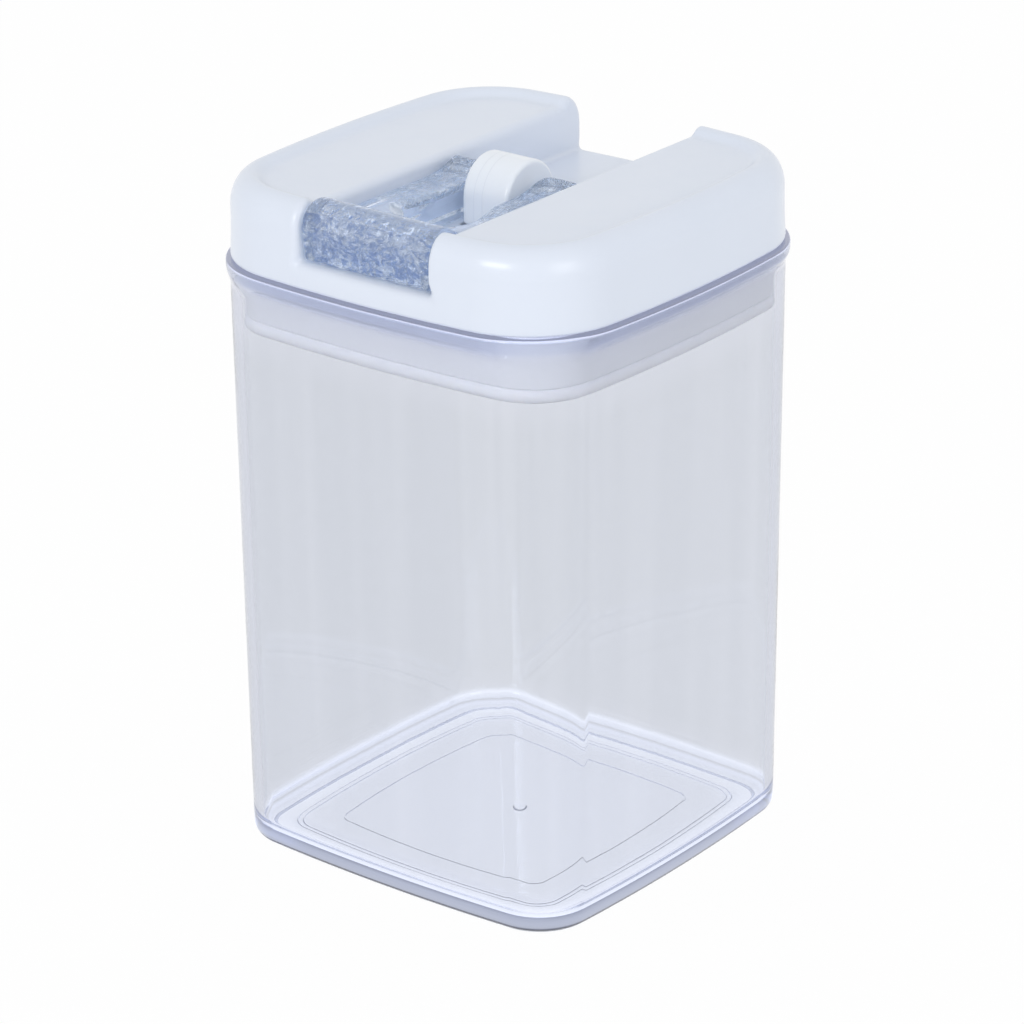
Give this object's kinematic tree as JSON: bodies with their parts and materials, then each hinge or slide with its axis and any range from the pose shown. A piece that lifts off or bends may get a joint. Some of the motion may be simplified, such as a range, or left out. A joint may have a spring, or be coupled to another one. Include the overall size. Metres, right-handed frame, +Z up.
{
  "type": "lidded food storage canister",
  "caption": "Square clear-plastic dry-food canister with a white plug lid and a flip-up lever that works a stem and pressure plate to tighten the lid's gasket.",
  "frame": {"origin": "centre of the foot, at the bottom", "axes": "+Z up through the lid; -Y towards the tip of the lever; +X to the right of someone facing the lever's tip"},
  "size_m": [0.1046, 0.1046, 0.1602],
  "materials": {
    "clear_body": "clear, polished",
    "white_cover": "gloss white",
    "white_base": "satin white",
    "seal": "milky silicone",
    "white_stem": "gloss white",
    "clear_lever": "clear, polished",
    "steel": "bright"
  },
  "bodies": {
    "container": {"container_body": "clear_body"},
    "lid": {"lid_cover": "white_cover", "lid_base": "white_base", "gasket": "seal", "cover_screws": "steel"},
    "stem": {"draw_stem": "white_stem", "pressure_plate": "white_base", "lever_pin": "steel", "stem_screw": "steel", "screw_seal": "seal"},
    "lever": {"lever": "clear_lever"}
  },
  "joints": [
    {"name": "lid_lift", "type": "slide", "parent": "container", "child": "lid", "axis": [0, 0, 1], "range_m": [0, 0.05]},
    {"name": "plate_drop", "type": "slide", "parent": "lid", "child": "stem", "axis": [0, 0, -1], "range_m": [0, 0.0027]},
    {"name": "lever_flip", "type": "hinge", "parent": "stem", "child": "lever", "pos_m": [0, 0, 0.1515], "axis": [-1, 0, 0], "range_deg": [0, 90]}
  ],
  "couplings": [
    {"joint": "plate_drop", "follows": "lever_flip", "m_per_rad": 0.0017189}
  ]
}
